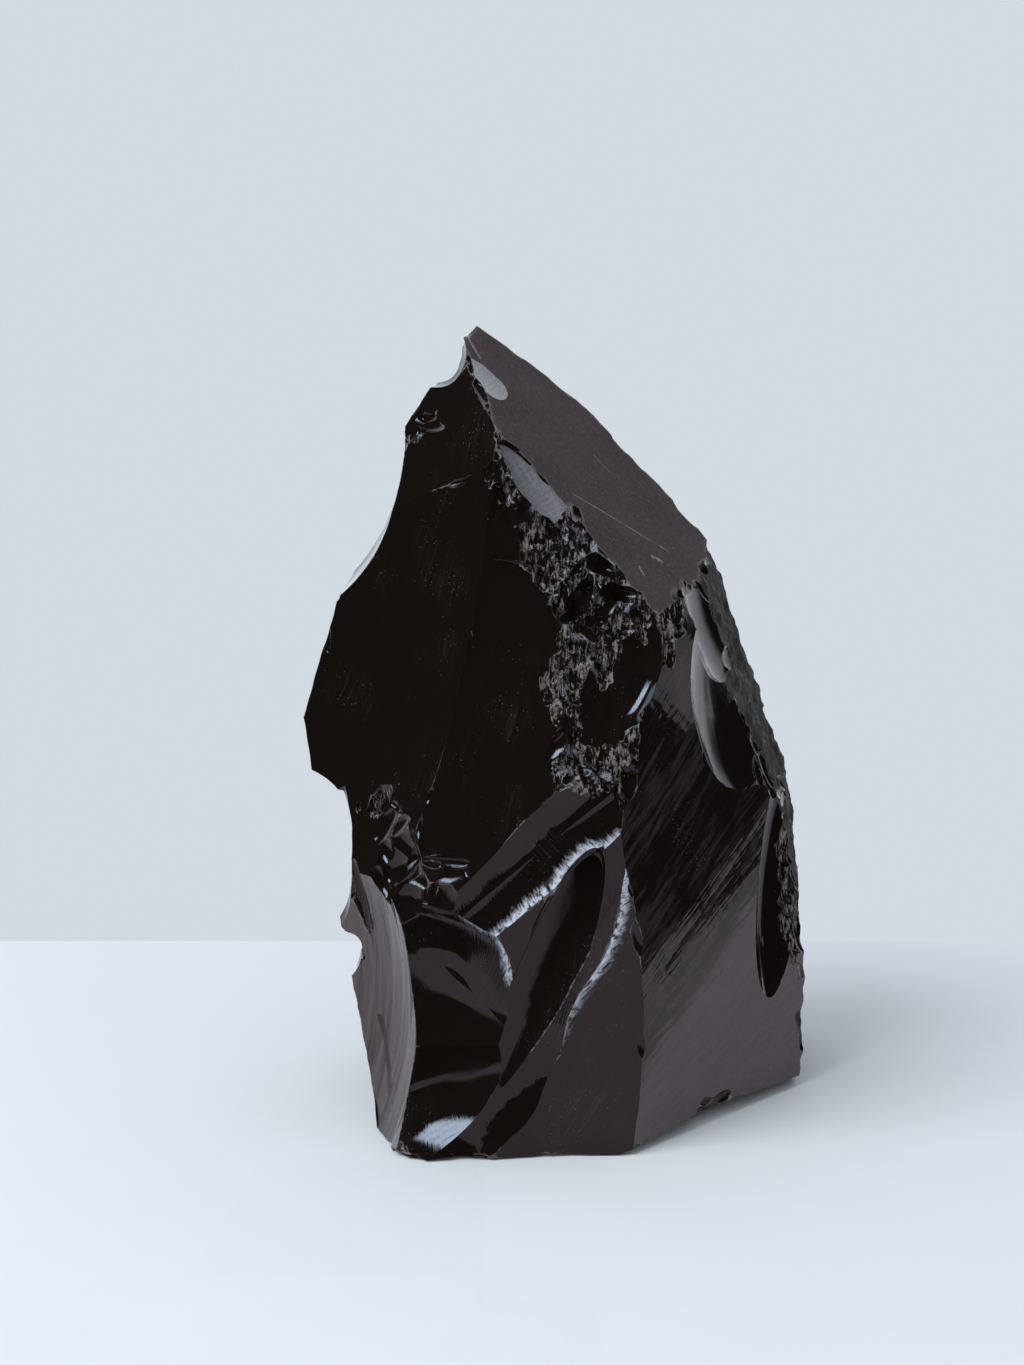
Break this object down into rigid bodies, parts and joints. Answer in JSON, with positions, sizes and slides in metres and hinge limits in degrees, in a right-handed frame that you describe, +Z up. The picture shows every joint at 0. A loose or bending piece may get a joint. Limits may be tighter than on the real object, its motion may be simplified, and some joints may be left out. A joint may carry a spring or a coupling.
{
  "type": "obsidian chunk",
  "caption": "Hand-sized upright lump of black volcanic glass with glossy conchoidal scars, a flat crown and a weathered edge.",
  "frame": {"origin": "centre of the chunk's bounding box, on its flat base", "axes": "+Z up from the base to the apex, -Y towards the side with the large glossy scars"},
  "size_m": [0.0863, 0.0776, 0.1317],
  "materials": {
    "obsidian": "glossy opaque black with duller weathered patches"
  },
  "bodies": {
    "root": {"obsidian_chunk": "obsidian"}
  },
  "joints": []
}
